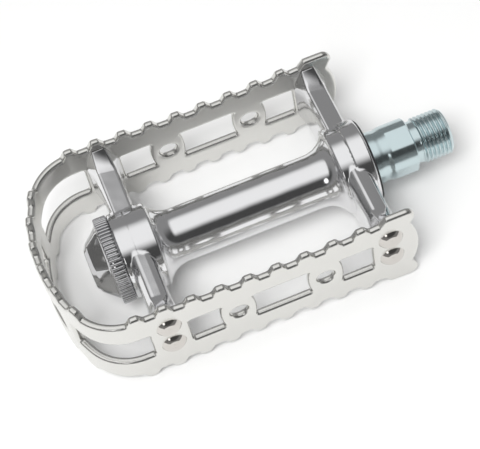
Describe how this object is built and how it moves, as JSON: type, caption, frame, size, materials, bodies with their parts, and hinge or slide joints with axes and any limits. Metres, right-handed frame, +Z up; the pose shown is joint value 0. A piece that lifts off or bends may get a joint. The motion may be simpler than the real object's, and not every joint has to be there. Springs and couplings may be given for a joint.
{
  "type": "bicycle pedal",
  "caption": "Flat bicycle pedal: a serrated cage bent round a cast body that spins on a threaded spindle with loose-ball bearings and a dust cap.",
  "frame": {"origin": "on the spindle's axis where the pedal thread begins, 2 mm in front of the crank seat", "axes": "+X along the spindle towards the crank, +Z up with the pedal lying flat on the teeth of its cage"},
  "size_m": [0.1274, 0.0664, 0.0332],
  "materials": {
    "cage": "satin",
    "body": "polished",
    "rivet": "polished",
    "spindle": "zinc plated",
    "race": "ground",
    "ball": "polished",
    "cap": "polished",
    "seal": "matte"
  },
  "bodies": {
    "spindle": {"spindle": "spindle", "outer_cone": "race", "lock_washer": "race", "lock_nut": "race"},
    "pedal": {"pedal_body": "body", "cage": "cage", "rivet_front_outer_upper": "rivet", "rivet_front_outer_lower": "rivet", "rivet_front_inner_upper": "rivet", "rivet_front_inner_lower": "rivet", "rivet_rear_outer_upper": "rivet", "rivet_rear_outer_lower": "rivet", "rivet_rear_inner_upper": "rivet", "rivet_rear_inner_lower": "rivet", "inner_cup": "race", "outer_cup": "race", "dust_cap": "cap", "inner_seal": "seal"},
    "inner_bearing": {"inner_ball_set": "ball"},
    "outer_bearing": {"outer_ball_set": "ball"}
  },
  "joints": [
    {"name": "pedal_spin", "type": "hinge", "parent": "spindle", "child": "pedal", "pos_m": [0, 0, 0], "axis": [1, 0, 0], "continuous": true},
    {"name": "inner_ball_orbit", "type": "hinge", "parent": "spindle", "child": "inner_bearing", "pos_m": [0, 0, 0], "axis": [1, 0, 0], "continuous": true},
    {"name": "outer_ball_orbit", "type": "hinge", "parent": "spindle", "child": "outer_bearing", "pos_m": [0, 0, 0], "axis": [1, 0, 0], "continuous": true}
  ],
  "couplings": [
    {"joint": "inner_ball_orbit", "follows": "pedal_spin", "ratio": 0.585},
    {"joint": "outer_ball_orbit", "follows": "pedal_spin", "ratio": 0.585}
  ]
}
